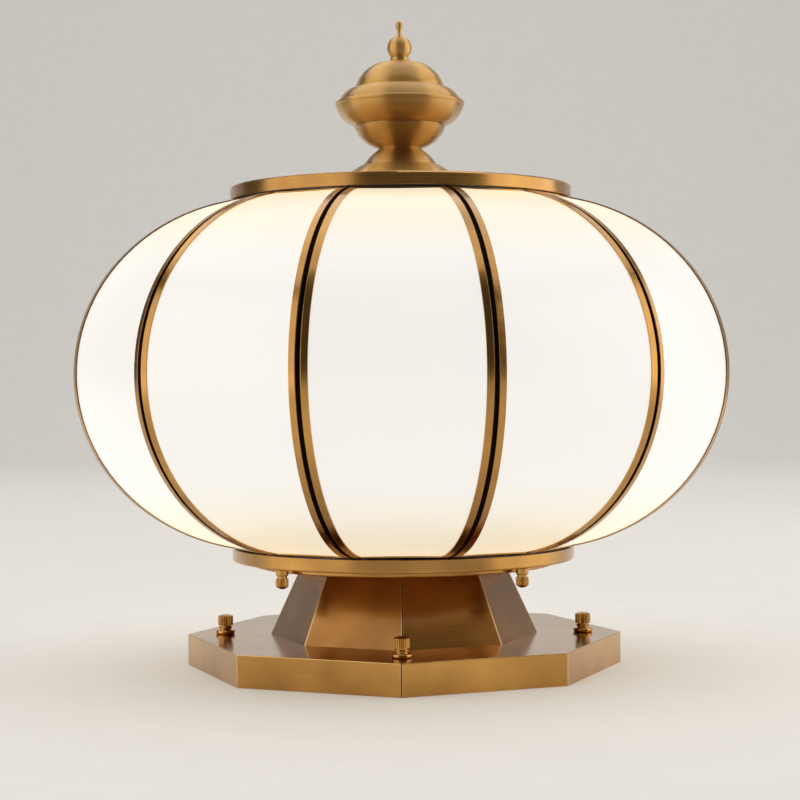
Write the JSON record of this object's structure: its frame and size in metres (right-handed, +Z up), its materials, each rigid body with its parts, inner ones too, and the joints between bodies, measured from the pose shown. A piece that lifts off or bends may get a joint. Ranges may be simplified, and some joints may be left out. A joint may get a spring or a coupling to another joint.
{
  "type": "globe post light",
  "caption": "Flattened globe lamp of curved opal glass panels in brass cames, on an octagonal neck and base pan, with a turned finial and thumb nuts, for the top of a pier.",
  "frame": {"origin": "on the pier, at the middle of the underside of the base", "axes": "+Z up along the light's axis, -Y to the front of the picture, +X to its right"},
  "size_m": [0.393, 0.393, 0.3987],
  "materials": {
    "lacquered_brass": "brushed antique brass under a clear lacquer",
    "opal_glass": "white opal glass, smooth",
    "zinc_steel": "zinc plated",
    "black_rib": "matte black",
    "black_rubber": "moulded, matte",
    "white_ceramic": "unglazed",
    "terminal_plastic": "moulded, matte",
    "earth_brass": "turned, plain",
    "lamp_glass": "white diffuser, satin"
  },
  "bodies": {
    "light_body": {"base_pan": "lacquered_brass", "bracket_studs": "zinc_steel", "cable_grommet": "black_rubber", "cap_seal": "black_rubber", "centre_tube": "zinc_steel", "earth_screw": "earth_brass", "glass_panel_01": "opal_glass", "glass_panel_02": "opal_glass", "glass_panel_03": "opal_glass", "glass_panel_04": "opal_glass", "glass_panel_05": "opal_glass", "glass_panel_06": "opal_glass", "glass_panel_07": "opal_glass", "glass_panel_08": "opal_glass", "glass_panel_09": "opal_glass", "glass_panel_10": "opal_glass", "glass_panel_11": "opal_glass", "glass_panel_12": "opal_glass", "lamp_holders": "white_ceramic", "lamp_plate": "zinc_steel", "lower_hoop": "zinc_steel", "lower_ring": "lacquered_brass", "neck_dish": "lacquered_brass", "neck_shell": "lacquered_brass", "panel_frames": "lacquered_brass", "pier_bracket": "zinc_steel", "ring_studs": "zinc_steel", "seam_ribs": "black_rib", "terminal_block": "terminal_plastic", "tube_nuts": "zinc_steel", "tube_washers": "zinc_steel", "upper_hoop": "zinc_steel"},
    "cap": {"top_cap": "lacquered_brass", "finial_foot": "lacquered_brass", "finial_bowl": "lacquered_brass", "finial_dome": "lacquered_brass"},
    "knob_ring": {"knob_collar": "lacquered_brass"},
    "knob": {"finial_knob": "lacquered_brass"},
    "base_ring_1": {"base_nut_collar_1": "lacquered_brass"},
    "base_thumb_1": {"base_nut_1": "lacquered_brass"},
    "base_ring_2": {"base_nut_collar_2": "lacquered_brass"},
    "base_thumb_2": {"base_nut_2": "lacquered_brass"},
    "base_ring_3": {"base_nut_collar_3": "lacquered_brass"},
    "base_thumb_3": {"base_nut_3": "lacquered_brass"},
    "base_ring_4": {"base_nut_collar_4": "lacquered_brass"},
    "base_thumb_4": {"base_nut_4": "lacquered_brass"},
    "under_ring_1": {"ring_nut_collar_1": "lacquered_brass"},
    "under_thumb_1": {"ring_nut_1": "lacquered_brass"},
    "under_ring_2": {"ring_nut_collar_2": "lacquered_brass"},
    "under_thumb_2": {"ring_nut_2": "lacquered_brass"},
    "under_ring_3": {"ring_nut_collar_3": "lacquered_brass"},
    "under_thumb_3": {"ring_nut_3": "lacquered_brass"},
    "under_ring_4": {"ring_nut_collar_4": "lacquered_brass"},
    "under_thumb_4": {"ring_nut_4": "lacquered_brass"},
    "bulb_1": {"lamp_1": "lamp_glass"},
    "bulb_2": {"lamp_2": "lamp_glass"},
    "bulb_3": {"lamp_3": "lamp_glass"}
  },
  "joints": [
    {"name": "cap_lift", "type": "slide", "parent": "light_body", "child": "cap", "axis": [0, 0, 1], "range_m": [0, 0.15]},
    {"name": "knob_travel", "type": "slide", "parent": "cap", "child": "knob_ring", "axis": [0, 0, 1], "range_m": [0, 0.011]},
    {"name": "knob_turn", "type": "hinge", "parent": "knob_ring", "child": "knob", "pos_m": [0, 0, 0.38], "axis": [0, 0, 1], "range_deg": [0, 3960]},
    {"name": "base_nut_1_travel", "type": "slide", "parent": "light_body", "child": "base_ring_1", "axis": [0, 0, 1], "range_m": [0, 0.006]},
    {"name": "base_nut_1_turn", "type": "hinge", "parent": "base_ring_1", "child": "base_thumb_1", "pos_m": [0, -0.1109, 0.025], "axis": [0, 0, 1], "range_deg": [0, 2700]},
    {"name": "base_nut_2_travel", "type": "slide", "parent": "light_body", "child": "base_ring_2", "axis": [0, 0, 1], "range_m": [0, 0.006]},
    {"name": "base_nut_2_turn", "type": "hinge", "parent": "base_ring_2", "child": "base_thumb_2", "pos_m": [0.1109, 0, 0.025], "axis": [0, 0, 1], "range_deg": [0, 2700]},
    {"name": "base_nut_3_travel", "type": "slide", "parent": "light_body", "child": "base_ring_3", "axis": [0, 0, 1], "range_m": [0, 0.006]},
    {"name": "base_nut_3_turn", "type": "hinge", "parent": "base_ring_3", "child": "base_thumb_3", "pos_m": [0, 0.1109, 0.025], "axis": [0, 0, 1], "range_deg": [0, 2700]},
    {"name": "base_nut_4_travel", "type": "slide", "parent": "light_body", "child": "base_ring_4", "axis": [0, 0, 1], "range_m": [0, 0.006]},
    {"name": "base_nut_4_turn", "type": "hinge", "parent": "base_ring_4", "child": "base_thumb_4", "pos_m": [-0.1109, 0, 0.025], "axis": [0, 0, 1], "range_deg": [0, 2700]},
    {"name": "ring_nut_1_travel", "type": "slide", "parent": "light_body", "child": "under_ring_1", "axis": [0, 0, -1], "range_m": [0, 0.0042]},
    {"name": "ring_nut_1_turn", "type": "hinge", "parent": "under_ring_1", "child": "under_thumb_1", "pos_m": [0.07022, -0.07022, 0.058], "axis": [0, 0, -1], "range_deg": [0, 2160]},
    {"name": "ring_nut_2_travel", "type": "slide", "parent": "light_body", "child": "under_ring_2", "axis": [0, 0, -1], "range_m": [0, 0.0042]},
    {"name": "ring_nut_2_turn", "type": "hinge", "parent": "under_ring_2", "child": "under_thumb_2", "pos_m": [0.07022, 0.07022, 0.058], "axis": [0, 0, -1], "range_deg": [0, 2160]},
    {"name": "ring_nut_3_travel", "type": "slide", "parent": "light_body", "child": "under_ring_3", "axis": [0, 0, -1], "range_m": [0, 0.0042]},
    {"name": "ring_nut_3_turn", "type": "hinge", "parent": "under_ring_3", "child": "under_thumb_3", "pos_m": [-0.07022, 0.07022, 0.058], "axis": [0, 0, -1], "range_deg": [0, 2160]},
    {"name": "ring_nut_4_travel", "type": "slide", "parent": "light_body", "child": "under_ring_4", "axis": [0, 0, -1], "range_m": [0, 0.0042]},
    {"name": "ring_nut_4_turn", "type": "hinge", "parent": "under_ring_4", "child": "under_thumb_4", "pos_m": [-0.07022, -0.07022, 0.058], "axis": [0, 0, -1], "range_deg": [0, 2160]},
    {"name": "lamp_1_turn", "type": "hinge", "parent": "light_body", "child": "bulb_1", "pos_m": [0, 0.042, 0.15], "axis": [0, 0, 1], "range_deg": [0, 1440]},
    {"name": "lamp_2_turn", "type": "hinge", "parent": "light_body", "child": "bulb_2", "pos_m": [-0.03637, -0.021, 0.15], "axis": [0, 0, 1], "range_deg": [0, 1440]},
    {"name": "lamp_3_turn", "type": "hinge", "parent": "light_body", "child": "bulb_3", "pos_m": [0.03637, -0.021, 0.15], "axis": [0, 0, 1], "range_deg": [0, 1440]}
  ],
  "couplings": [
    {"joint": "knob_turn", "follows": "knob_travel", "rad_per_m": 6283.2},
    {"joint": "base_nut_1_turn", "follows": "base_nut_1_travel", "rad_per_m": 7854},
    {"joint": "base_nut_2_turn", "follows": "base_nut_2_travel", "rad_per_m": 7854},
    {"joint": "base_nut_3_turn", "follows": "base_nut_3_travel", "rad_per_m": 7854},
    {"joint": "base_nut_4_turn", "follows": "base_nut_4_travel", "rad_per_m": 7854},
    {"joint": "ring_nut_1_turn", "follows": "ring_nut_1_travel", "rad_per_m": 8976},
    {"joint": "ring_nut_2_turn", "follows": "ring_nut_2_travel", "rad_per_m": 8976},
    {"joint": "ring_nut_3_turn", "follows": "ring_nut_3_travel", "rad_per_m": 8976},
    {"joint": "ring_nut_4_turn", "follows": "ring_nut_4_travel", "rad_per_m": 8976}
  ]
}
